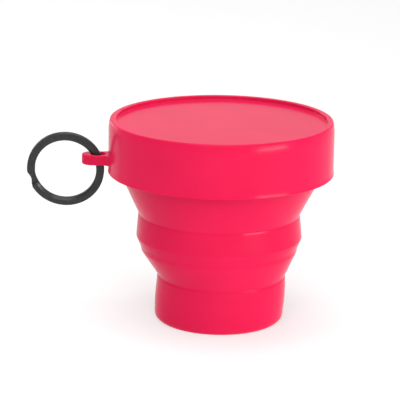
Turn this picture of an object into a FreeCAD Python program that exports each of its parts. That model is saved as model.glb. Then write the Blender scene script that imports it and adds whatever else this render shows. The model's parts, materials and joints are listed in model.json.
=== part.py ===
"""Collapsible silicone travel cup with a push-on lid, a lug on the lid and a split ring.

Millimetres, +Z up. The origin is the centre of the foot, on the surface that the cup stands on.
The cup is one silicone moulding. Thin fold walls join its thick bands, and each zone is its own
solid here because the bands telescope into each other when the cup is pushed flat.
"""

import FreeCAD, Part

import math
import os

V = FreeCAD.Vector
ORIGIN = V(0, 0, 0)
AXIS = V(0, 0, 1)
FULL_TURN = 360.0

# Heights of the cup's creases, shoulders and ends, from the foot up.
FOOT_Z = 0.0
BASE_BELLY_Z = 9.5
LOWER_FOLD_BOTTOM_Z = 17.3
LOWER_SHOULDER_Z = 28.3
LOWER_FOLD_TOP_Z = 30.3
BAND_WIDEST_Z = 34.0
UPPER_FOLD_BOTTOM_Z = 42.4
UPPER_FOLD_TOP_Z = 59.8
RIM_SHOULDER_Z = 63.0
LIP_BOTTOM_Z = 74.6
LIP_WIDEST_Z = 75.2
CUP_TOP_Z = 77.5

# Outer radii at those heights.
FOOT_R = 25.3
BASE_BELLY_R = 25.8
BASE_TOP_R = 25.35
LOWER_FOLD_BOTTOM_R = 24.75
LOWER_SHOULDER_R = 30.65
LOWER_FOLD_TOP_R = 31.05
BAND_BOTTOM_R = 31.1
BAND_WIDEST_R = 32.6
BAND_TOP_R = 31.8
UPPER_FOLD_BOTTOM_R = 31.45
UPPER_FOLD_TOP_R = 39.7
RIM_SHOULDER_R = 41.3
RIM_WALL_R = 41.4
LIP_R = 41.75

# Walls: the base and the bands are stiff, the folds are thin enough to turn over.
BAND_WALL = 2.1
FOLD_WALL = 1.1
FLOOR = 2.4
FOOT_RECESS = 0.7
FOOT_RECESS_R = 19.0

# Roundings: creases are crisp, edges that a hand meets are soft, and shoulders bend gently.
CREASE_ROUND = 0.35
EDGE_ROUND = 0.5
FOOT_ROUND = 2.6
BELLY_ROUND = 60.0
FLOOR_FILLET = 2.5
LOWER_SHOULDER_ROUND = 2.0
BAND_WIDEST_ROUND = 0.8
RIM_SHOULDER_ROUND = 3.0
LIP_ROUND = 1.1
LIP_INNER_ROUND = 0.9

# The lid: its skirt is straight between a turned-in top and a flared bottom.
LID_TOP_Z = 80.7
LID_TOP_R = 43.65
LID_STRAIGHT_TOP_Z = 76.0
LID_STRAIGHT_BOTTOM_Z = 63.6
LID_R = 43.95
LID_BOTTOM_Z = 59.8
LID_BOTTOM_R = 44.25
LID_BORE_R = 42.0
LID_RIM_HEIGHT = 1.5
LID_RIM_INNER_R = 41.0
LID_BEND_ROUND = 12.0
LID_SEAT_GAP = 0.1
SEAL_RIB_R = 38.3
SEAL_RIB_WALL = 1.1
SEAL_RIB_HEIGHT = 2.8

# The lug on the lid's skirt, with a round eye for the ring.
LUG_ROOT_X = -43.0
LUG_TIP_X = -54.4
LUG_HALF_WIDTH = 4.1
LUG_BOTTOM_Z = 62.0
LUG_THICKNESS = 3.9
EYE_X = -48.0
EYE_R = 2.95

# The split ring: two turns of flat wire side by side, joined by one short crossover.
RING_R = 15.1
WIRE_WIDTH = 3.1
WIRE_THICKNESS = 1.25
WIRE_EDGE = 0.35
TURN_GAP = 0.1
RING_DROP = 4.55
RING_LEAN_DEG = 7.0
WIRE_END_DEG = 207.0
CROSSOVER_DEG = 16.0
CROSSOVER_INSET = 0.5
CROSSOVER_STEPS = 6


def mixed(a, b, share):
    """The value that lies share of the way from a to b."""
    return a + (b - a) * share


def corner_arc(before, corner, after, radius):
    """The start, middle and end of the arc that rounds a corner between two straight runs."""
    back = (before - corner).normalize()
    ahead = (after - corner).normalize()
    half = back.getAngle(ahead) / 2
    to_tangent = radius / math.tan(half)
    to_centre = radius / math.sin(half)
    bisector = (back + ahead).normalize()
    return (
        corner + back * to_tangent,
        corner + bisector * (to_centre - radius),
        corner + ahead * to_tangent,
    )


def outline(corners):
    """A closed wire in the XZ plane from (radius, height, rounding) corners, rounded by tangent arcs."""
    points = [V(r, 0, z) for r, z, _ in corners]
    roundings = [rounding for _, _, rounding in corners]
    arcs = []
    for i, point in enumerate(points):
        if roundings[i] > 0:
            arcs.append(corner_arc(points[i - 1], point, points[(i + 1) % len(points)], roundings[i]))
        else:
            arcs.append((point, None, point))
    edges = []
    for i, (start, middle, end) in enumerate(arcs):
        if middle is not None:
            edges.append(Part.Arc(start, middle, end).toShape())
        following = arcs[(i + 1) % len(arcs)][0]
        edges.append(Part.LineSegment(end, following).toShape())
    return Part.Wire(edges)


def turned(corners):
    """The solid of revolution about the cup's axis with this outline."""
    return Part.Face(outline(corners)).revolve(ORIGIN, AXIS, FULL_TURN)


def base_cup():
    """The foot tier: floor, foot ring and slightly bellied wall."""
    floor_top = FOOT_RECESS + FLOOR
    inner_r = BASE_TOP_R - BAND_WALL
    return turned([
        (0, FOOT_RECESS, 0),
        (FOOT_RECESS_R - FOOT_RECESS, FOOT_RECESS, CREASE_ROUND),
        (FOOT_RECESS_R, FOOT_Z, CREASE_ROUND),
        (FOOT_R, FOOT_Z, FOOT_ROUND),
        (BASE_BELLY_R, BASE_BELLY_Z, BELLY_ROUND),
        (BASE_TOP_R, LOWER_FOLD_BOTTOM_Z, CREASE_ROUND),
        (inner_r, LOWER_FOLD_BOTTOM_Z, CREASE_ROUND),
        (inner_r, floor_top, FLOOR_FILLET),
        (0, floor_top, 0),
    ])


def lower_fold():
    """The thin wall between the base and the middle band, with a rounded shoulder under the band."""
    return turned([
        (LOWER_FOLD_BOTTOM_R, LOWER_FOLD_BOTTOM_Z, 0),
        (LOWER_SHOULDER_R, LOWER_SHOULDER_Z, LOWER_SHOULDER_ROUND),
        (LOWER_FOLD_TOP_R, LOWER_FOLD_TOP_Z, 0),
        (LOWER_FOLD_TOP_R - FOLD_WALL, LOWER_FOLD_TOP_Z, 0),
        (LOWER_SHOULDER_R - FOLD_WALL, LOWER_SHOULDER_Z + FOLD_WALL / 2, LOWER_SHOULDER_ROUND),
        (LOWER_FOLD_BOTTOM_R - FOLD_WALL, LOWER_FOLD_BOTTOM_Z, 0),
    ])


def middle_band():
    """The middle tier: a bevel under a wall that leans in towards its top."""
    inner_r = BAND_TOP_R - BAND_WALL
    return turned([
        (BAND_BOTTOM_R, LOWER_FOLD_TOP_Z, 0),
        (BAND_WIDEST_R, BAND_WIDEST_Z, BAND_WIDEST_ROUND),
        (BAND_TOP_R, UPPER_FOLD_BOTTOM_Z, CREASE_ROUND),
        (inner_r, UPPER_FOLD_BOTTOM_Z, CREASE_ROUND),
        (inner_r, LOWER_FOLD_TOP_Z, 0),
    ])


def upper_fold():
    """The thin cone between the middle band and the rim wall."""
    return turned([
        (UPPER_FOLD_BOTTOM_R, UPPER_FOLD_BOTTOM_Z, 0),
        (UPPER_FOLD_TOP_R, UPPER_FOLD_TOP_Z, 0),
        (UPPER_FOLD_TOP_R - FOLD_WALL, UPPER_FOLD_TOP_Z, 0),
        (UPPER_FOLD_BOTTOM_R - FOLD_WALL, UPPER_FOLD_BOTTOM_Z, 0),
    ])


def rim_wall():
    """The top tier's wall, which the lid's skirt covers."""
    inner_r = RIM_WALL_R - BAND_WALL
    return turned([
        (UPPER_FOLD_TOP_R, UPPER_FOLD_TOP_Z, 0),
        (RIM_SHOULDER_R, RIM_SHOULDER_Z, RIM_SHOULDER_ROUND),
        (RIM_WALL_R, LIP_BOTTOM_Z, 0),
        (inner_r, LIP_BOTTOM_Z, 0),
        (inner_r, RIM_SHOULDER_Z + FOLD_WALL, RIM_SHOULDER_ROUND),
        (UPPER_FOLD_TOP_R - FOLD_WALL, UPPER_FOLD_TOP_Z, 0),
    ])


def drinking_lip():
    """The thicker rounded bead that stiffens the mouth."""
    inner_r = RIM_WALL_R - BAND_WALL
    return turned([
        (RIM_WALL_R, LIP_BOTTOM_Z, 0),
        (LIP_R, LIP_WIDEST_Z, CREASE_ROUND),
        (LIP_R, CUP_TOP_Z, LIP_ROUND),
        (inner_r, CUP_TOP_Z, LIP_INNER_ROUND),
        (inner_r, LIP_BOTTOM_Z, 0),
    ])


def lid_cap():
    """The lid: recessed panel, raised rim, deep skirt, and a rib that plugs the cup's mouth."""
    panel_top = LID_TOP_Z - LID_RIM_HEIGHT
    seat_z = CUP_TOP_Z + LID_SEAT_GAP
    rib_bottom = seat_z - SEAL_RIB_HEIGHT
    rib_inner_r = SEAL_RIB_R - SEAL_RIB_WALL
    return turned([
        (0, panel_top, 0),
        (LID_RIM_INNER_R, panel_top, EDGE_ROUND),
        (LID_RIM_INNER_R, LID_TOP_Z, EDGE_ROUND),
        (LID_TOP_R, LID_TOP_Z, LIP_ROUND),
        (LID_R, LID_STRAIGHT_TOP_Z, LID_BEND_ROUND),
        (LID_R, LID_STRAIGHT_BOTTOM_Z, LID_BEND_ROUND),
        (LID_BOTTOM_R, LID_BOTTOM_Z, EDGE_ROUND),
        (LID_BORE_R, LID_BOTTOM_Z, EDGE_ROUND),
        (LID_BORE_R, seat_z, LIP_ROUND),
        (SEAL_RIB_R, seat_z, CREASE_ROUND),
        (SEAL_RIB_R, rib_bottom, CREASE_ROUND),
        (rib_inner_r, rib_bottom, CREASE_ROUND),
        (rib_inner_r, seat_z, CREASE_ROUND),
        (0, seat_z, 0),
    ])


def lug_blank():
    """The lug before its eye is cut: a straight tongue from inside the skirt to a half-round tip."""
    tip_centre_x = LUG_TIP_X + LUG_HALF_WIDTH
    left_root = V(LUG_ROOT_X, LUG_HALF_WIDTH, LUG_BOTTOM_Z)
    left_tip = V(tip_centre_x, LUG_HALF_WIDTH, LUG_BOTTOM_Z)
    right_tip = V(tip_centre_x, -LUG_HALF_WIDTH, LUG_BOTTOM_Z)
    right_root = V(LUG_ROOT_X, -LUG_HALF_WIDTH, LUG_BOTTOM_Z)
    wire = Part.Wire([
        Part.LineSegment(left_root, left_tip).toShape(),
        Part.Arc(left_tip, V(LUG_TIP_X, 0, LUG_BOTTOM_Z), right_tip).toShape(),
        Part.LineSegment(right_tip, right_root).toShape(),
        Part.LineSegment(right_root, left_root).toShape(),
    ])
    return Part.Face(wire).extrude(AXIS * LUG_THICKNESS)


def level_edges(shape):
    """The edges of the lug's two flat faces and of the eye's mouths, but not those at the root."""
    found = []
    for edge in shape.Edges:
        box = edge.BoundBox
        is_level = box.ZLength < 0.01
        is_at_root = box.XMin > LUG_ROOT_X - 0.5
        if is_level and not is_at_root:
            found.append(edge)
    return found


def lid_loop():
    """The lug with its eye, cut to the lid's skirt so that the two meet face to face."""
    eye = Part.makeCylinder(EYE_R, 3 * LUG_THICKNESS, V(EYE_X, 0, LUG_BOTTOM_Z - LUG_THICKNESS), AXIS)
    lug = lug_blank().cut(eye)
    lug = lug.makeFillet(EDGE_ROUND, level_edges(lug))
    return lug.cut(lid_cap())


def wire_section(angle_deg, axial, inset):
    """The flat wire's rounded section at an angle round the ring, which lies in the XZ plane."""
    mid_r = RING_R - WIRE_WIDTH / 2 - inset
    half_w = WIRE_WIDTH / 2 - WIRE_EDGE
    half_t = WIRE_THICKNESS / 2 - WIRE_EDGE
    quarter = math.pi / 2
    signs = [(1, 1), (-1, 1), (-1, -1), (1, -1)]
    centres = [V(mid_r + right * half_w, axial + up * half_t, 0) for right, up in signs]
    arcs = []
    for i, centre in enumerate(centres):
        turns = [(i + step) * quarter for step in (0, 0.5, 1)]
        arcs.append([centre + V(math.cos(t), math.sin(t), 0) * WIRE_EDGE for t in turns])
    edges = []
    for i, arc in enumerate(arcs):
        edges.append(Part.Arc(*arc).toShape())
        edges.append(Part.LineSegment(arc[2], arcs[(i + 1) % len(arcs)][0]).toShape())
    wire = Part.Wire(edges)
    wire.rotate(ORIGIN, V(0, 1, 0), -angle_deg)
    return wire


def coil_turn(axial):
    """One flat turn of the wire, from its cut end to the crossover."""
    section = Part.Face(wire_section(WIRE_END_DEG, axial, 0))
    return section.revolve(ORIGIN, V(0, -1, 0), FULL_TURN - CROSSOVER_DEG)


def crossover(front, back):
    """The short stretch where the wire steps from the front turn to the back turn."""
    sections = []
    for step in range(CROSSOVER_STEPS + 1):
        share = step / CROSSOVER_STEPS
        eased = share * share * (3 - 2 * share)
        angle = WIRE_END_DEG - CROSSOVER_DEG * (1 - share)
        inset = CROSSOVER_INSET * math.sin(math.pi * share)
        sections.append(wire_section(angle, mixed(front, back, eased), inset))
    return Part.makeLoft(sections, True, False)


def eye_middle():
    """The middle of the lug's eye."""
    return V(EYE_X, 0, LUG_BOTTOM_Z + LUG_THICKNESS / 2)


def ring_centre():
    """The ring's centre, placed so that its wire runs through the middle of the eye."""
    mid_r = RING_R - WIRE_WIDTH / 2
    return eye_middle() - V(math.sqrt(mid_r**2 - RING_DROP**2), 0, RING_DROP)


def split_ring():
    """The whole ring, threaded through the eye and leaning a little about the lug's length."""
    layer = (WIRE_THICKNESS + TURN_GAP) / 2
    ring = coil_turn(-layer).fuse([coil_turn(layer), crossover(-layer, layer)])
    ring = ring.removeSplitter()
    ring.translate(ring_centre())
    ring.rotate(eye_middle(), V(1, 0, 0), RING_LEAN_DEG)
    return ring


NODES = {
    "base_cup": base_cup,
    "lower_fold": lower_fold,
    "middle_band": middle_band,
    "upper_fold": upper_fold,
    "rim_wall": rim_wall,
    "drinking_lip": drinking_lip,
    "lid_cap": lid_cap,
    "lid_loop": lid_loop,
    "split_ring": split_ring,
}


def main():
    """Build every node, say whether it is sound, and write it as a STEP file."""
    os.makedirs("parts", exist_ok=True)
    for name, build in NODES.items():
        shape = build()
        solids = shape.Solids
        sound = all(s.isValid() and s.isClosed() for s in solids)
        print(f"{name}: {len(solids)} solid, sound {sound}, {shape.Volume / 1000:.3f} cm3")
        solid = solids[0] if len(solids) == 1 else Part.makeCompound(solids)
        solid.exportStep(f"parts/{name}.step")


main()
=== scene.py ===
"""Looks of the collapsible travel cup: moulded silicone, a push-on lid and a dark split ring."""

import json
import math

import bmesh
import bpy
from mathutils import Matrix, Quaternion, Vector


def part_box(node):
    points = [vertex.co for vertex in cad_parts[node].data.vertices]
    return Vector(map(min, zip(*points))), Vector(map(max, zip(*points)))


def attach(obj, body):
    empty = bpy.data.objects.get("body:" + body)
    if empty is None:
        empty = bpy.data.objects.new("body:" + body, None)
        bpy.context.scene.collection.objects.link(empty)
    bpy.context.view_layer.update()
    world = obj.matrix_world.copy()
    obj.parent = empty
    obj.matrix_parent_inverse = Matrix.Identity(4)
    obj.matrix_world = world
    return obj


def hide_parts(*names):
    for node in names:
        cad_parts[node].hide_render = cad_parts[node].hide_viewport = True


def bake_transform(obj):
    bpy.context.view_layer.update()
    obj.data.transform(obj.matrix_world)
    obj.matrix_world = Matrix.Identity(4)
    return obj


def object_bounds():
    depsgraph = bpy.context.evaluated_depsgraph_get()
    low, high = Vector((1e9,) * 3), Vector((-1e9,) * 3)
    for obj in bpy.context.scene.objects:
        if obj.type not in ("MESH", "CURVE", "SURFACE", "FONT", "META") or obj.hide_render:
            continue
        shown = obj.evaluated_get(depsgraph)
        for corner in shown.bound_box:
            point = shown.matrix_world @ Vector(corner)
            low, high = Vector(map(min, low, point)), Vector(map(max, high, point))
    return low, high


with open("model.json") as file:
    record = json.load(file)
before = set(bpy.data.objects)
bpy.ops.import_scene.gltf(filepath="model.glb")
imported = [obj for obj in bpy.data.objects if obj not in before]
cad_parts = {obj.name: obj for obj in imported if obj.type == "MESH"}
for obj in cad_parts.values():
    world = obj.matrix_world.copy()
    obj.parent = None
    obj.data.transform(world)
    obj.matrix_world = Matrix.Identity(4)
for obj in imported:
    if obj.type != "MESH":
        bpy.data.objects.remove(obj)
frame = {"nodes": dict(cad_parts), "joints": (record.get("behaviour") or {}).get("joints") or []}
cad_low, cad_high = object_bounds()

MM = 0.001
SEGMENTS = 256
ARC_STEP = math.radians(9)
SHARP = math.radians(38)
LONGEST_RUN = 1.2 * MM
# How far inside its edge a node is measured, and how near the axis a point counts as on it.
HAIR = 0.02 * MM


# ---------------------------------------------------------------- measuring the frame


def radii(node, z):
    """The inner and outer radius of a turned CAD node where a level plane cuts it."""
    mesh = frame["nodes"][node].data
    found = []
    for edge in mesh.edges:
        a, b = (mesh.vertices[i].co for i in edge.vertices)
        if (a.z - z) * (b.z - z) < 0:
            found.append(a.lerp(b, (z - a.z) / (b.z - a.z)).xy.length)
    return min(found), max(found)


def wall_radius(node, z, low, high):
    """The outer radius at z of the straight wall through two heights, carried on past its roundings."""
    at_low = radii(node, low)[1]
    at_high = radii(node, high)[1]
    return at_low + (at_high - at_low) * (z - low) / (high - low)


def heights(node):
    """The lowest and highest z of a CAD node."""
    low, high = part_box(node)
    return low.z, high.z


def joint(name):
    """A joint's entry in the record."""
    return next(j for j in frame["joints"] if j["name"] == name)


FOOT_Z, BASE_TOP = heights("base_cup")
LOWER_FOLD_TOP = heights("lower_fold")[1]
UPPER_FOLD_BOTTOM, UPPER_FOLD_TOP = heights("upper_fold")
LIP_BOTTOM, CUP_TOP = heights("drinking_lip")

# ---------------------------------------------------------------- turned shapes

# The soft wall's lean as (height, shift to the right): right at the lower crease, left at the upper.
LEAN = [
    (FOOT_Z, 0.0),
    (BASE_TOP, 0.8 * MM),
    (LOWER_FOLD_TOP, -0.3 * MM),
    (UPPER_FOLD_BOTTOM, -0.4 * MM),
    (UPPER_FOLD_TOP, 0.0),
]


def corner_arc(before, corner, after, radius):
    """Points along the arc that rounds a corner of an outline."""
    back = (before - corner).normalized()
    ahead = (after - corner).normalized()
    half = back.angle(ahead) / 2
    reach = radius / math.tan(half)
    centre = corner + (back + ahead).normalized() * (radius / math.sin(half))
    spoke = corner + back * reach - centre
    last = corner + ahead * reach - centre
    first_angle = math.atan2(spoke.y, spoke.x)
    turn = (math.atan2(last.y, last.x) - first_angle + math.pi) % math.tau - math.pi
    steps = max(2, math.ceil(abs(turn) / ARC_STEP), math.ceil(abs(turn) * radius / LONGEST_RUN))
    angles = [first_angle + turn * i / steps for i in range(steps + 1)]
    return [centre + radius * Vector((math.cos(a), math.sin(a))) for a in angles]


def outline(corners):
    """A closed outline in (radius, height) from (r, z, rounding) corners, with long runs divided."""
    points = [Vector((r, z)) for r, z, _ in corners]
    rounded = []
    for i, (_, _, rounding) in enumerate(corners):
        if rounding > 0:
            rounded += corner_arc(points[i - 1], points[i], points[(i + 1) % len(points)], rounding)
        else:
            rounded.append(points[i])
    divided = []
    for i, point in enumerate(rounded):
        following = rounded[(i + 1) % len(rounded)]
        pieces = max(1, math.ceil((following - point).length / LONGEST_RUN))
        divided += [point.lerp(following, k / pieces) for k in range(pieces)]
    return divided


def sideways(z):
    """How far the soft cup leans to the right at a height; it stands true at its foot and rim."""
    for (low, at_low), (high, at_high) in zip(LEAN, LEAN[1:]):
        if low <= z <= high:
            share = (z - low) / (high - low)
            return at_low + (at_high - at_low) * share * share * (3 - 2 * share)
    return 0.0


def turned(name, corners):
    """A closed mesh turned about the cup's axis from (radius, height, rounding) corners."""
    bm = bmesh.new()
    rings = []
    angles = [math.tau * s / SEGMENTS for s in range(SEGMENTS)]
    for point in outline(corners):
        shift = sideways(point.y)
        if point.x < HAIR:
            rings.append([bm.verts.new((shift, 0, point.y))])
            continue
        rings.append([
            bm.verts.new((shift + point.x * math.cos(a), point.x * math.sin(a), point.y)) for a in angles
        ])
    for i, ring in enumerate(rings):
        join_rings(bm, ring, rings[(i + 1) % len(rings)], SEGMENTS)
    return finished(name, bm)


def join_rings(bm, ring, following, count):
    """Faces between two rings of vertices, where either may be a single point."""
    if len(ring) == 1 and len(following) == 1:
        return
    for s in range(count):
        t = (s + 1) % count
        quad = [ring[s % len(ring)], ring[t % len(ring)]]
        quad += [following[t % len(following)], following[s % len(following)]]
        bm.faces.new(dict.fromkeys(quad))


def finished(name, bm):
    """The bmesh as a shown object, smooth but for its sharp edges."""
    bmesh.ops.recalc_face_normals(bm, faces=bm.faces)
    mesh = bpy.data.meshes.new(name)
    bm.to_mesh(mesh)
    bm.free()
    mesh.shade_smooth()
    mesh.set_sharp_from_angle(angle=SHARP)
    piece = bpy.data.objects.new(name, mesh)
    bpy.context.scene.collection.objects.link(piece)
    return piece


# ---------------------------------------------------------------- the cup

# Each seam between two pieces lies in a straight stretch of wall, clear of the fold lines.
BASE_SEAM = BASE_TOP - 2.0 * MM
BAND_LOWER_SEAM = LOWER_FOLD_TOP + 1.6 * MM
BAND_UPPER_SEAM = UPPER_FOLD_BOTTOM - 2.0 * MM
RIM_SEAM = UPPER_FOLD_TOP + 6.0 * MM
LIP_SEAM = LIP_BOTTOM - 0.8 * MM

# The foot tier: its floor, its foot, and the gentle belly where its wall changes slope.
CUP_FLOOR = 2.4 * MM
FOOT_RECESS = 0.7 * MM
FOOT_RECESS_R = 19.0 * MM
FOOT_ROUND = 2.6 * MM
BELLY_Z = 9.5 * MM
BELLY_ROUND = 60 * MM

# Pairs of heights between which a wall is straight enough to be measured.
WALL_BELOW_BELLY = (4 * MM, 7 * MM)
WALL_ABOVE_BELLY = (11 * MM, 14 * MM)
WALL_BELOW_CREASE = (12 * MM, 16 * MM)
LOWER_FOLD_WALL = (BASE_TOP + 2 * MM, BASE_TOP + 7 * MM)
BAND_BEVEL_WALL = (BAND_LOWER_SEAM - 1 * MM, BAND_LOWER_SEAM)
BAND_UPPER_WALL = (BAND_UPPER_SEAM - 3 * MM, BAND_UPPER_SEAM)

# The bends of the middle and top tiers.
SHOULDER_DROP = 2.0 * MM
BEVEL_HEIGHT = 3.7 * MM
RIM_TURN_OUTSIDE = 3.2 * MM
RIM_TURN_INSIDE = 4.2 * MM

# A crease outside: its crest's and valley's roundings, the valley's height and how full it is.
CREASE_CREST = 0.6 * MM
CREASE_VALLEY = 0.9 * MM
CREASE_RISE = 0.9 * MM
CREASE_FILL = 0.45

# A crease inside: a short step from just below the fold line to just above it.
STEP_BELOW = 0.2 * MM
STEP_ABOVE = 0.4 * MM
STEP_ROUND = 0.3 * MM


def base_cup():
    """The foot tier up to just below its shoulder."""
    inner, outer = radii("base_cup", BASE_SEAM)
    belly_r = wall_radius("base_cup", BELLY_Z, *WALL_ABOVE_BELLY)
    foot_r = wall_radius("base_cup", FOOT_Z, *WALL_BELOW_BELLY)
    recess_z = FOOT_Z + FOOT_RECESS
    floor_z = recess_z + CUP_FLOOR
    piece = turned("base_cup", [
        (0, recess_z, 0),
        (FOOT_RECESS_R - FOOT_RECESS, recess_z, 0.4 * MM),
        (FOOT_RECESS_R, FOOT_Z, 0.3 * MM),
        (foot_r, FOOT_Z, FOOT_ROUND),
        (belly_r, BELLY_Z, BELLY_ROUND),
        (outer, BASE_SEAM, 0),
        (inner, BASE_SEAM, 0),
        (inner, floor_z, 2.5 * MM),
        (0, floor_z, 0),
    ])
    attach(piece, "base")
    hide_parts("base_cup")
    return piece


def filled(foot_r, corner_r):
    """The radius at a crease's valley, which the moulding's fillet fills in part."""
    return foot_r + CREASE_FILL * (corner_r - foot_r)


def lower_fold():
    """The wall that turns over between base and band, with the creases at both ends."""
    base_in, base_out = radii("base_cup", BASE_SEAM)
    corner_out = wall_radius("base_cup", BASE_TOP, *WALL_BELOW_CREASE)
    foot_in, foot_out = radii("lower_fold", BASE_TOP + HAIR)
    shoulder_z = LOWER_FOLD_TOP - SHOULDER_DROP
    shoulder_r = wall_radius("lower_fold", shoulder_z, *LOWER_FOLD_WALL)
    top_in, top_out = radii("lower_fold", LOWER_FOLD_TOP - HAIR)
    wall = top_out - top_in
    band_in, band_out = radii("middle_band", BAND_LOWER_SEAM)
    piece = turned("lower_fold", [
        (base_out, BASE_SEAM, 0),
        (corner_out, BASE_TOP, CREASE_CREST),
        (filled(foot_out, corner_out), BASE_TOP + CREASE_RISE, CREASE_VALLEY),
        (shoulder_r, shoulder_z, 2.0 * MM),
        (top_out, LOWER_FOLD_TOP, 0.6 * MM),
        (band_out, BAND_LOWER_SEAM, 0),
        (band_in, BAND_LOWER_SEAM, 0),
        (band_in, LOWER_FOLD_TOP, 1.0 * MM),
        (shoulder_r - wall, shoulder_z + wall / 2, 1.6 * MM),
        (foot_in, BASE_TOP + STEP_ABOVE, STEP_ROUND),
        (base_in, BASE_TOP - STEP_BELOW, STEP_ROUND),
        (base_in, BASE_SEAM, 0),
    ])
    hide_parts("lower_fold")
    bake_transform(piece)
    return piece


def middle_band():
    """The middle tier between its two creases: bevel, widest line and leaning wall."""
    low_in, low_out = radii("middle_band", BAND_LOWER_SEAM)
    high_in, high_out = radii("middle_band", BAND_UPPER_SEAM)
    widest_z = LOWER_FOLD_TOP + BEVEL_HEIGHT
    widest_r = wall_radius("middle_band", widest_z, *BAND_BEVEL_WALL)
    piece = turned("middle_band", [
        (low_out, BAND_LOWER_SEAM, 0),
        (widest_r, widest_z, 0.9 * MM),
        (high_out, BAND_UPPER_SEAM, 0),
        (high_in, BAND_UPPER_SEAM, 0),
        (low_in, BAND_LOWER_SEAM, 0),
    ])
    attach(piece, "middle")
    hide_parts("middle_band")
    return piece


def upper_fold():
    """The cone that turns over between band and rim, with the creases at both ends."""
    band_in, band_out = radii("middle_band", BAND_UPPER_SEAM)
    corner_out = wall_radius("middle_band", UPPER_FOLD_BOTTOM, *BAND_UPPER_WALL)
    foot_in, foot_out = radii("upper_fold", UPPER_FOLD_BOTTOM + HAIR)
    top_in, top_out = radii("upper_fold", UPPER_FOLD_TOP - HAIR)
    rim_in, rim_out = radii("rim_wall", RIM_SEAM)
    piece = turned("upper_fold", [
        (band_out, BAND_UPPER_SEAM, 0),
        (corner_out, UPPER_FOLD_BOTTOM, CREASE_CREST),
        (filled(foot_out, corner_out), UPPER_FOLD_BOTTOM + CREASE_RISE, CREASE_VALLEY),
        (top_out, UPPER_FOLD_TOP, 2.0 * MM),
        (rim_out, UPPER_FOLD_TOP + RIM_TURN_OUTSIDE, 2.6 * MM),
        (rim_out, RIM_SEAM, 0),
        (rim_in, RIM_SEAM, 0),
        (rim_in, UPPER_FOLD_TOP + RIM_TURN_INSIDE, 2.2 * MM),
        (top_in, UPPER_FOLD_TOP, 2.0 * MM),
        (foot_in, UPPER_FOLD_BOTTOM + STEP_ABOVE, STEP_ROUND),
        (band_in, UPPER_FOLD_BOTTOM - STEP_BELOW, STEP_ROUND),
        (band_in, BAND_UPPER_SEAM, 0),
    ])
    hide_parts("upper_fold")
    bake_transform(piece)
    return piece


def rim_wall():
    """The straight part of the top tier."""
    inner, outer = radii("rim_wall", RIM_SEAM)
    piece = turned("rim_wall", [
        (outer, RIM_SEAM, 0),
        (outer, LIP_SEAM, 0),
        (inner, LIP_SEAM, 0),
        (inner, RIM_SEAM, 0),
    ])
    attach(piece, "upper")
    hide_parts("rim_wall")
    return piece


def drinking_lip():
    """The rounded bead round the mouth."""
    inner, outer = radii("rim_wall", LIP_SEAM)
    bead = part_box("drinking_lip")[1].x
    piece = turned("drinking_lip", [
        (outer, LIP_SEAM, 0),
        (outer, LIP_BOTTOM + 0.1 * MM, 0.6 * MM),
        (bead, LIP_BOTTOM + 0.8 * MM, 0.5 * MM),
        (bead, CUP_TOP, 1.15 * MM),
        (inner, CUP_TOP, 1.0 * MM),
        (inner, LIP_SEAM, 0),
    ])
    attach(piece, "upper")
    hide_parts("drinking_lip")
    return piece


# ---------------------------------------------------------------- the lid

LID_BOTTOM, LID_TOP = heights("lid_cap")
PANEL_DROP = 1.5 * MM
PANEL_TOP = LID_TOP - PANEL_DROP
SEAT = CUP_TOP + 0.1 * MM
RIB_DEPTH = 2.8 * MM
RIB_WALL = 1.1 * MM

# The skirt bends in towards its top and flares at its bottom, each over a few millimetres.
SKIRT_LEAN = math.radians(12.5)
SKIRT_BEND = 17.0 * MM
TOP_TURN = 2.6 * MM
FLARE = 1.25 * MM
FLARE_LEAN = math.radians(13.0)
FLARE_BEND = 7.4 * MM


def lid_cap():
    """Recessed panel, raised rim, deep skirt, and the rib that plugs the mouth."""
    bore = radii("lid_cap", (LID_BOTTOM + SEAT) / 2)[0]
    skirt_r = radii("lid_cap", (LID_BOTTOM + LID_TOP) / 2)[1]
    lean = math.tan(SKIRT_LEAN)
    rim_in = radii("lid_cap", LID_TOP - PANEL_DROP / 2)[0]
    rib_z = SEAT - RIB_DEPTH
    rib_in = radii("lid_cap", SEAT - RIB_DEPTH / 2)[0]
    rib_out = rib_in + RIB_WALL
    piece = turned("lid_cap", [
        (0, PANEL_TOP, 0),
        (rim_in, PANEL_TOP, 0.5 * MM),
        (rim_in, LID_TOP, 0.4 * MM),
        (skirt_r - TOP_TURN * lean, LID_TOP, 0.7 * MM),
        (skirt_r, LID_TOP - TOP_TURN, SKIRT_BEND),
        (skirt_r, LID_BOTTOM + FLARE, FLARE_BEND),
        (skirt_r + FLARE * math.tan(FLARE_LEAN), LID_BOTTOM, 0.3 * MM),
        (bore, LID_BOTTOM, 0.5 * MM),
        (bore, SEAT, 0.9 * MM),
        (rib_out, SEAT, 0.3 * MM),
        (rib_out, rib_z, 0.5 * MM),
        (rib_in, rib_z, 0.5 * MM),
        (rib_in, SEAT, 0.5 * MM),
        (0, SEAT, 0),
    ])
    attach(piece, "lid")
    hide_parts("lid_cap")
    return piece


# The lug's roundings, its root inside the skirt, and its flare's length and spread at the skirt.
LUG_ROUND = 0.5 * MM
EYE_ROUND = 0.25 * MM
LUG_ROOT = 1.0 * MM
LUG_FLARE = 1.6 * MM
LUG_SPREAD = 0.6

# How finely the lug is made: its sections round the eye, and the search for its outline.
LUG_SECTIONS = 160
LUG_FARTHEST = 12 * MM
LUG_HALVINGS = 30


def lug_half_width(x, tip_x, half, skirt_x):
    """Half the lug's width at x: a half-round tip, straight sides and a flare into the skirt."""
    from_tip = x - tip_x
    if from_tip < half:
        return math.sqrt(max(0.0, half * half - (half - from_tip) ** 2))
    near = max(0.0, x - (skirt_x - LUG_FLARE)) / LUG_FLARE
    return half + LUG_FLARE * (1 - math.sqrt(max(0.0, 1 - min(1.0, near) ** 2))) * LUG_SPREAD


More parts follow.
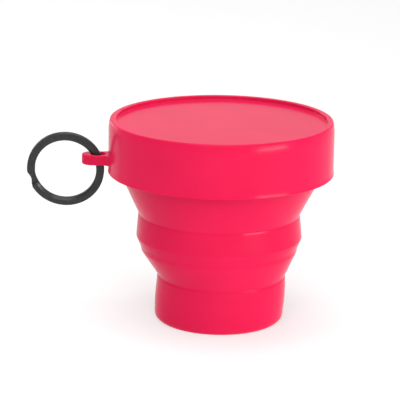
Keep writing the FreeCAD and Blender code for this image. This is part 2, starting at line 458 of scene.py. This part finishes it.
def lid_loop():
    """The lug, as one rounded section carried round its eye."""
    low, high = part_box("lid_loop")
    eye = Vector(joint("ring_swing")["pos_m"])
    vertices = frame["nodes"]["lid_loop"].data.vertices
    eye_r = min((v.co.xy - eye.xy).length for v in vertices)
    half = high.y
    skirt_x = -radii("lid_cap", eye.z)[1]
    root_x = skirt_x + LUG_ROOT
    half_t = (high.z - low.z) / 2
    mid_z = (high.z + low.z) / 2
    bm = bmesh.new()
    rings = []
    for i in range(LUG_SECTIONS):
        angle = math.tau * i / LUG_SECTIONS
        way = Vector((math.cos(angle), math.sin(angle)))
        reach = lug_reach(eye, way, low.x, half, skirt_x, root_x)
        rings.append([
            bm.verts.new((eye.x + way.x * r, eye.y + way.y * r, mid_z + z))
            for r, z in lug_section(eye_r, reach, half_t)
        ])
    for i, ring in enumerate(rings):
        join_rings(bm, ring, rings[(i + 1) % LUG_SECTIONS], len(ring))
    piece = finished("lid_loop", bm)
    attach(piece, "lid")
    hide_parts("lid_loop")
    return piece


def lug_reach(eye, way, tip_x, half, skirt_x, root_x):
    """How far the lug's outline is from the eye's centre in one direction."""
    near, far = 0.0, LUG_FARTHEST
    for _ in range(LUG_HALVINGS):
        r = (near + far) / 2
        x = eye.x + way.x * r
        inside = tip_x < x < root_x and abs(way.y * r) < lug_half_width(x, tip_x, half, skirt_x)
        near, far = (r, far) if inside else (near, r)
    return near


def lug_section(inner, outer, half_t):
    """The closed section between the eye and the outline, crisper at the eye than outside."""
    corners = [
        (inner, half_t, EYE_ROUND),
        (outer, half_t, LUG_ROUND),
        (outer, -half_t, LUG_ROUND),
        (inner, -half_t, EYE_ROUND),
    ]
    points = [Vector((r, z)) for r, z, _ in corners]
    section = []
    for i, (_, _, rounding) in enumerate(corners):
        section += corner_arc(points[i - 1], points[i], points[(i + 1) % 4], rounding)
    return section


# ---------------------------------------------------------------- the ring

RING_LEAN = math.radians(7.0)
RING_STEP = math.radians(2)

# The wire's section: the crest of its front face lies in from its hole side, and the face's two
# edges stand forward by these shares of half its thickness.
WIRE_WIDTH = 3.1 * MM
WIRE_THICKNESS = 1.25 * MM
CREST_INSET = 1.0 * MM
INNER_EDGE = 0.1
OUTER_EDGE = 0.6

# The wire's course: where it starts, how far each turn lies from the ring's middle plane, and the
# crossover between them, which is narrowed from outside.
WIRE_END = math.radians(207)
LAYER = 0.67 * MM
CROSSOVER = math.radians(22)
CROSSOVER_INSET = 0.45 * MM
LEAST_FACING = 0.3

# Each end of the wire grows from TIP_SIZE by TIP_GROWTH to its full size over TIP_LENGTH.
TIP_LENGTH = 0.6 * MM
TIP_SIZE = 0.55
TIP_GROWTH = 0.45


def wire_section():
    """The wire's section as (outward, forward) points: its front face is crested nearer the hole."""
    half_w = WIRE_WIDTH / 2
    half_t = WIRE_THICKNESS / 2
    crest = half_w - CREST_INSET
    corners = [
        (-half_w, -half_t, 0.25 * MM),
        (-half_w, INNER_EDGE * half_t, 0.2 * MM),
        (-crest, half_t, 0.22 * MM),
        (half_w, OUTER_EDGE * half_t, 0.3 * MM),
        (half_w, -half_t, 0.25 * MM),
    ]
    points = [Vector((x, y)) for x, y, _ in corners]
    section = []
    for i, (_, _, rounding) in enumerate(corners):
        section += corner_arc(points[i - 1], points[i], points[(i + 1) % len(points)], rounding)
    return section


def split_ring():
    """Two turns of the wire with one crossover, swept as a single length."""
    low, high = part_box("split_ring")
    centre = (low + high) / 2
    mid_r = (high.x - low.x) / 2 - WIRE_WIDTH / 2
    across = Vector((1, 0, 0))
    up = Vector((0, -math.sin(RING_LEAN), math.cos(RING_LEAN)))
    front = across.cross(up)
    section = wire_section()
    bm = bmesh.new()
    rings = []
    length = 2 * math.tau - CROSSOVER
    count = round(length / RING_STEP)
    for i in range(count + 1):
        along = length * i / count
        angle = WIRE_END + along
        share = (along - (math.tau - CROSSOVER)) / CROSSOVER
        share = min(1.0, max(0.0, share))
        eased = share * share * (3 - 2 * share)
        layer = LAYER * (1 - 2 * eased)
        inset = CROSSOVER_INSET * math.sin(math.pi * share)
        narrow = 1 - 2 * inset / WIRE_WIDTH
        out = across * math.cos(angle) + up * math.sin(angle)
        middle = centre + out * (mid_r - inset) + front * layer
        tip = min(1.0, min(along, length - along) * mid_r / TIP_LENGTH)
        thin = TIP_SIZE + TIP_GROWTH * math.sqrt(1 - (1 - tip) ** 2)
        rings.append([
            bm.verts.new(middle + out * x * narrow * thin + front * y * facing(eased) * thin)
            for x, y in section
        ])
    for i in range(count):
        join_rings(bm, rings[i], rings[i + 1], len(section))
    bm.faces.new(rings[0])
    bm.faces.new(rings[-1])
    piece = finished("split_ring", bm)
    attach(piece, "ring")
    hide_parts("split_ring")
    return piece


def facing(eased):
    """How far forward the crested face looks: 1 on the front turn and -1 on the rear one."""
    value = 1 - 2 * eased
    return math.copysign(max(LEAST_FACING, abs(value)), value)


# ---------------------------------------------------------------- materials


def new_material(name):
    """A node material with its default shader and output."""
    material = bpy.data.materials.new(name)
    material.use_nodes = True
    shader = material.node_tree.nodes["Principled BSDF"]
    return material, material.node_tree, shader


def noise_node(tree, scale, detail, roughness=0.5):
    """A noise texture in the object's own space."""
    place = tree.nodes.new("ShaderNodeTexCoord")
    texture = tree.nodes.new("ShaderNodeTexNoise")
    texture.inputs["Scale"].default_value = scale
    texture.inputs["Detail"].default_value = detail
    texture.inputs["Roughness"].default_value = roughness
    tree.links.new(place.outputs["Object"], texture.inputs["Vector"])
    return texture


def ramp_node(tree, source, stops):
    """A colour ramp over a source, with (place, colour) stops."""
    ramp = tree.nodes.new("ShaderNodeValToRGB")
    elements = ramp.color_ramp.elements
    while len(elements) < len(stops):
        elements.new(0.5)
    for element, (place, colour) in zip(elements, stops):
        element.position = place
        element.color = (*colour, 1)
    tree.links.new(source, ramp.inputs["Fac"])
    return ramp


def range_node(tree, source, low, high):
    """A source mapped from 0..1 to low..high."""
    node = tree.nodes.new("ShaderNodeMapRange")
    node.inputs["To Min"].default_value = low
    node.inputs["To Max"].default_value = high
    tree.links.new(source, node.inputs["Value"])
    return node


def bump_node(tree, source, strength, distance, below=None):
    """A bump from a source, stacked on another if there is one."""
    bump = tree.nodes.new("ShaderNodeBump")
    bump.inputs["Strength"].default_value = strength
    bump.inputs["Distance"].default_value = distance
    tree.links.new(source, bump.inputs["Height"])
    if below is not None:
        tree.links.new(below.outputs["Normal"], bump.inputs["Normal"])
    return bump


# The silicone's noise scales, per metre, its bumps, and how much it reflects.
MOTTLE_SCALE = 45
HAZE_SCALE = 160
GRAIN_SCALE = 5200
RIPPLE_SCALE = 60
SILICONE_BUMP = 0.04
RIPPLE_DEPTH = 1.0 * MM
GRAIN_DEPTH = 0.05 * MM
SPECULAR = 0.065


def silicone():
    """Pigmented satin silicone: faint mottling, a slow ripple and a very fine moulded grain."""
    material, tree, shader = new_material("pink_red_silicone")
    mottle = noise_node(tree, MOTTLE_SCALE, 3)
    tone = ramp_node(tree, mottle.outputs["Fac"], [
        (0.3, (0.64, 0.0112, 0.069)),
        (0.7, (0.68, 0.0132, 0.075)),
    ])
    tree.links.new(tone.outputs["Color"], shader.inputs["Base Color"])
    haze = noise_node(tree, HAZE_SCALE, 4, 0.6)
    gloss = range_node(tree, haze.outputs["Fac"], 0.18, 0.24)
    tree.links.new(gloss.outputs["Result"], shader.inputs["Roughness"])
    grain = noise_node(tree, GRAIN_SCALE, 2)
    ripple = noise_node(tree, RIPPLE_SCALE, 1)
    soft = bump_node(tree, ripple.outputs["Fac"], SILICONE_BUMP, RIPPLE_DEPTH)
    fine = bump_node(tree, grain.outputs["Fac"], SILICONE_BUMP, GRAIN_DEPTH, soft)
    tree.links.new(fine.outputs["Normal"], shader.inputs["Normal"])
    shader.inputs["IOR"].default_value = 1.42
    shader.inputs["Specular IOR Level"].default_value = SPECULAR
    shader.inputs["Diffuse Roughness"].default_value = 1.0
    shader.inputs["Subsurface Weight"].default_value = 0.25
    shader.inputs["Subsurface Radius"].default_value = (1.0, 0.25, 0.35)
    shader.inputs["Subsurface Scale"].default_value = 1.2 * MM
    return material


# The wire's noise scales, per metre, its bump, and how much it reflects.
WEAR_SCALE = 420
STREAK_SCALE = 900
WIRE_BUMP = 0.12
STREAK_DEPTH = 0.03 * MM
WIRE_SPECULAR = 0.25


def ring_paint():
    """Black-plated spring wire: satin, rubbed a little lighter here and there."""
    material, tree, shader = new_material("dark_plated_wire")
    wear = noise_node(tree, WEAR_SCALE, 5, 0.6)
    tone = ramp_node(tree, wear.outputs["Fac"], [
        (0.35, (0.020, 0.020, 0.021)),
        (0.62, (0.029, 0.029, 0.030)),
        (0.80, (0.052, 0.052, 0.053)),
    ])
    tree.links.new(tone.outputs["Color"], shader.inputs["Base Color"])
    streaks = noise_node(tree, STREAK_SCALE, 3)
    gloss = range_node(tree, streaks.outputs["Fac"], 0.24, 0.36)
    tree.links.new(gloss.outputs["Result"], shader.inputs["Roughness"])
    fine = bump_node(tree, streaks.outputs["Fac"], WIRE_BUMP, STREAK_DEPTH)
    tree.links.new(fine.outputs["Normal"], shader.inputs["Normal"])
    shader.inputs["Specular IOR Level"].default_value = WIRE_SPECULAR
    return material


def dress(pieces, material):
    """One material for several pieces."""
    for piece in pieces:
        piece.data.materials.append(material)


# ---------------------------------------------------------------- stage, light and camera

TABLE_R = 6.0
TABLE_SIDES = 96
TABLE_MOTTLE_SCALE = 3
TABLE_GLOW = 0.57


def stage_floor():
    """A pale floor, lit a little from below like a light table, wide enough to fill every view."""
    bm = bmesh.new()
    bmesh.ops.create_circle(bm, cap_ends=True, segments=TABLE_SIDES, radius=TABLE_R)
    floor = finished("floor", bm)
    floor.location.z = cad_low.z
    material, tree, shader = new_material("pale_floor")
    texture = noise_node(tree, TABLE_MOTTLE_SCALE, 2)
    tone = ramp_node(tree, texture.outputs["Fac"], [
        (0.3, (0.41, 0.41, 0.41)),
        (0.7, (0.43, 0.43, 0.43)),
    ])
    tree.links.new(tone.outputs["Color"], shader.inputs["Base Color"])
    shader.inputs["Roughness"].default_value = 0.9
    shader.inputs["Specular IOR Level"].default_value = 0.1
    shader.inputs["Emission Color"].default_value = (1, 1, 1, 1)
    shader.inputs["Emission Strength"].default_value = TABLE_GLOW
    floor.data.materials.append(material)


# How bright the white surroundings are, and the point that the panels face.
WORLD = 0.33
CUP_MIDDLE = Vector((0, 0, 0.045))

# Name, azimuth and elevation in degrees, distance, width and height in metres, power in watts.
PANELS = [
    ("key", 51, 3, 0.9, 0.50, 0.08, 5.0),
    ("front", -2, 36, 0.9, 0.6, 0.6, 4.7),
    ("left_rim", -140, 10, 0.9, 0.4, 0.4, 1.2),
    ("back", 180, 24, 1.0, 0.7, 0.7, 0.8),
    ("top", 0, 90, 1.2, 0.8, 0.8, 9.4),
]


def soft_panel(name, azimuth, elevation, distance, width, height, power):
    """A panel of white light that faces the cup; azimuth 0 is in front and 90 to the right."""
    around, up = math.radians(azimuth), math.radians(elevation)
    way = Vector((math.sin(around) * math.cos(up), -math.cos(around) * math.cos(up), math.sin(up)))
    data = bpy.data.lights.new(name, "AREA")
    data.shape = "RECTANGLE"
    data.size = width
    data.size_y = height
    data.energy = power
    lamp = bpy.data.objects.new(name, data)
    lamp.location = CUP_MIDDLE + way * distance
    lamp.rotation_mode = "QUATERNION"
    lamp.rotation_quaternion = way.to_track_quat("Z", "Y")
    bpy.context.scene.collection.objects.link(lamp)


def studio():
    """White surroundings and a few soft panels: key from the right, edges lit from behind."""
    world = bpy.data.worlds.new("studio")
    world.use_nodes = True
    background = world.node_tree.nodes["Background"]
    background.inputs["Color"].default_value = (1, 1, 1, 1)
    background.inputs["Strength"].default_value = WORLD
    bpy.context.scene.world = world
    for panel in PANELS:
        soft_panel(*panel)


# The camera that was fitted to the photographed outlines, in metres but for the lens.
CAMERA_PLACE = Vector((0, -0.80877, 0.267606))
CAMERA_AIM = Vector((-0.007975, 0, 0.047794))
CAMERA_ROLL = math.radians(0.843)
LENS_MM = 192.2
SENSOR_MM = 36


def camera():
    """A long lens that looks down on the cup a little, rolled slightly."""
    data = bpy.data.cameras.new("camera")
    data.lens = LENS_MM
    data.sensor_width = SENSOR_MM
    eye = bpy.data.objects.new("camera", data)
    eye.location = CAMERA_PLACE
    eye.rotation_mode = "QUATERNION"
    roll = Quaternion((0, 0, 1), CAMERA_ROLL)
    eye.rotation_quaternion = (CAMERA_AIM - CAMERA_PLACE).to_track_quat("-Z", "Y") @ roll
    data.clip_start = 0.01
    data.clip_end = 50
    bpy.context.scene.collection.objects.link(eye)
    bpy.context.scene.camera = eye


cup_pieces = [base_cup(), lower_fold(), middle_band(), upper_fold(), rim_wall(), drinking_lip()]
lid_pieces = [lid_cap(), lid_loop()]
pink = silicone()
dress(cup_pieces, pink)
dress(lid_pieces, pink)
dress([split_ring()], ring_paint())
stage_floor()
studio()
camera()
bpy.context.scene.view_settings.view_transform = "Standard"
